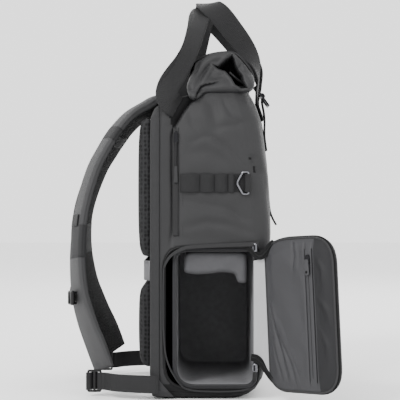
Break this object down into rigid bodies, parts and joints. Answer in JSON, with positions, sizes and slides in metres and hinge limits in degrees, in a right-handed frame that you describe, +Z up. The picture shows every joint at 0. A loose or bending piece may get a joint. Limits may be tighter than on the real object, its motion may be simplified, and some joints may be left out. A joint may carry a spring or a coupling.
{
  "type": "camera backpack",
  "caption": "Upright roll-top backpack with a padded camera box behind its open side door, padded straps, carrying handles, front strap with hook and a swinging side ring",
  "frame": {"origin": "Middle of the flat of the base, on the floor", "axes": "+Z up, +X to the front of the bag, away from the wearer's back, +Y to the wearer's right; the door is on the -Y side"},
  "size_m": [0.3794, 0.3855, 0.5665],
  "materials": {
    "tarpaulin": "matt coated tarpaulin cloth, charcoal",
    "twill": "twill cloth, dark grey",
    "base_cloth": "heavy cloth, black",
    "cube_cloth": "brushed lining over foam, black",
    "divider_cloth": "brushed lining over foam, grey",
    "lining": "thin nylon lining over foam, grey",
    "pale_lining": "thin nylon lining, light grey",
    "band_cloth": "woven band, light grey",
    "air_mesh": "spacer mesh over foam, dark grey",
    "strap_cloth": "cloth outside and mesh inside over foam, dark grey",
    "webbing": "flat woven webbing, dark grey",
    "zip_tape": "coated zip tape, black",
    "metal": "dark painted metal",
    "moulded_plastic": "moulded plastic, black"
  },
  "bodies": {
    "bag": {"bag_body": "tarpaulin", "harness_panel": "twill", "base_panel": "base_cloth", "camera_cube": "cube_cloth", "cube_divider": "divider_cloth", "opening_binding": "tarpaulin", "door_panel": "lining", "door_pocket_zip": "zip_tape", "door_pocket_pull": "moulded_plastic", "door_gusset": "pale_lining", "opening_pull_upper": "metal", "opening_pull_lower": "metal", "roll_top": "tarpaulin", "handle_rear": "webbing", "handle_front": "webbing", "back_pad_upper": "air_mesh", "back_pad_lower": "air_mesh", "luggage_band": "band_cloth", "side_webbing": "webbing", "side_zip": "zip_tape", "side_zip_pull": "moulded_plastic", "closure_strap": "webbing", "closure_hook": "metal", "sternum_slider_left": "moulded_plastic", "sternum_slider_right": "moulded_plastic", "sternum_webbing_left": "webbing", "sternum_webbing_right": "webbing", "sternum_buckle": "moulded_plastic", "shoulder_strap_left": "strap_cloth", "shoulder_strap_right": "strap_cloth", "strap_tab_left": "webbing", "strap_tab_right": "webbing", "ladder_lock_left": "moulded_plastic", "ladder_lock_right": "moulded_plastic", "strap_webbing_left": "webbing", "strap_webbing_right": "webbing", "wing_tab_left": "twill", "wing_tab_right": "twill"},
    "ring": {"d_ring": "metal"}
  },
  "joints": [
    {"name": "d_ring_swing", "type": "hinge", "parent": "bag", "child": "ring", "pos_m": [0.066, -0.14578, 0.296], "axis": [0, 0, 1], "range_deg": [0, 160]}
  ]
}
